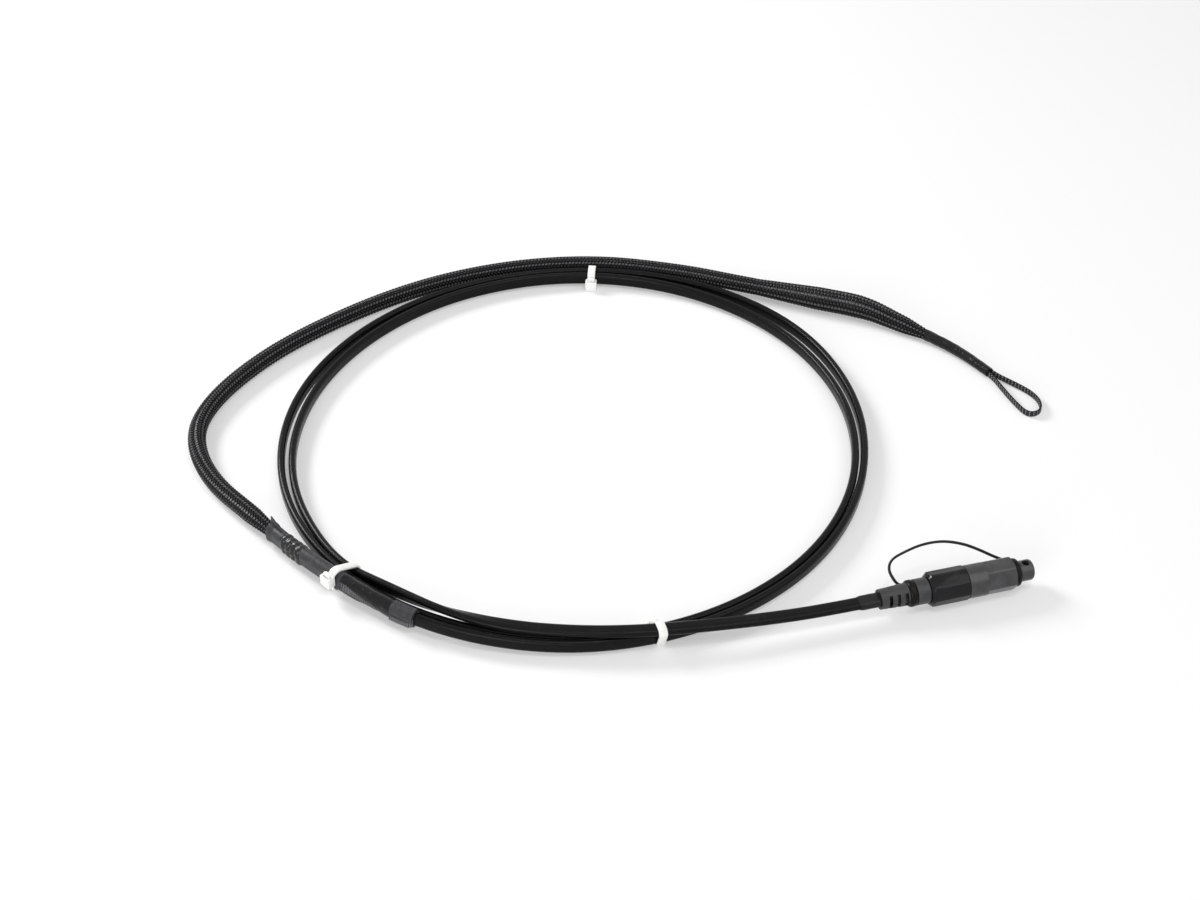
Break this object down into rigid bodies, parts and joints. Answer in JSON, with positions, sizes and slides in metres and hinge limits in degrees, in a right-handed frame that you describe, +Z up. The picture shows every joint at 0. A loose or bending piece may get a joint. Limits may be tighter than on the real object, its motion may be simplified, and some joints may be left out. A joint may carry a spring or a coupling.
{
  "type": "fibre drop cable assembly",
  "caption": "Coiled flat fibre drop cable tied for shipping, with a hardened capped plug on one end and a braided pulling sock with a pull loop over the other.",
  "frame": {"origin": "middle of the assembly's footprint, on the floor it lies on", "axes": "+Z up from the floor, +X along the longest side, towards the plug's cap and the pull loop"},
  "size_m": [0.5151, 0.3639, 0.031],
  "materials": {
    "cable_jacket": "satin extruded jacket",
    "shrink_sleeve": "shiny heat shrink",
    "boot_rubber": "matte moulded",
    "tether_rubber": "satin moulded",
    "plug_body": "semi-gloss moulded",
    "nut_plastic": "glossy moulded",
    "cap_plastic": "matte moulded",
    "sock_braid": "woven monofilament",
    "loop_braid": "flat woven braid",
    "tape": "shiny wrinkled tape",
    "tie_nylon": "natural nylon",
    "crimp_plastic": "moulded",
    "band_metal": "satin",
    "housing_plastic": "moulded",
    "holder_metal": "nickel plated",
    "ferrule_ceramic": "polished ceramic",
    "spring_steel": "drawn wire",
    "seal_rubber": "matte"
  },
  "bodies": {
    "cable": {"drop_cable": "cable_jacket", "cable_heat_shrink": "shrink_sleeve", "strain_relief_boot": "boot_rubber", "tether_boot_ring": "tether_rubber", "tether_strap": "tether_rubber", "plug_shroud": "plug_body", "pulling_sock": "sock_braid", "sock_nose_sleeve": "shrink_sleeve", "pull_loop": "loop_braid", "tape_flag": "tape", "tape_ridged": "tape", "tape_sleeve": "tape", "tape_diagonal": "tape", "tape_patch": "tape", "front_tie": "tie_nylon", "back_tie": "tie_nylon", "left_tie": "tie_nylon", "crimp_half_upper": "crimp_plastic", "crimp_half_lower": "crimp_plastic", "crimp_band": "band_metal", "inner_housing": "housing_plastic", "ferrule_holder": "holder_metal", "ferrule": "ferrule_ceramic", "ferrule_spring": "spring_steel", "shroud_seal_ring": "seal_rubber", "leg_transition": "boot_rubber", "indoor_boot": "housing_plastic", "indoor_plug": "housing_plastic", "indoor_ferrule": "ferrule_ceramic", "indoor_cap": "tie_nylon"},
    "nut": {"coupling_nut": "nut_plastic", "nut_seal_ring": "seal_rubber"},
    "cap_ring": {"tether_cap_ring": "tether_rubber"},
    "cap": {"dust_cap": "cap_plastic"}
  },
  "joints": [
    {"name": "nut_turn", "type": "hinge", "parent": "cable", "child": "nut", "pos_m": [0.12643, -0.15079, 0.0098], "axis": [0.9627, 0.2706, 0], "continuous": true},
    {"name": "cap_lift", "type": "slide", "parent": "cable", "child": "cap_ring", "axis": [0.9627, 0.2706, 0], "range_m": [0, 0.0091], "deforming": ["tether_strap"]},
    {"name": "cap_turn", "type": "hinge", "parent": "cap_ring", "child": "cap", "pos_m": [0.12643, -0.15079, 0.0098], "axis": [0.9627, 0.2706, 0], "range_deg": [0, 1080]}
  ],
  "couplings": [
    {"joint": "cap_lift", "follows": "cap_turn", "m_per_rad": 0.00047746}
  ]
}
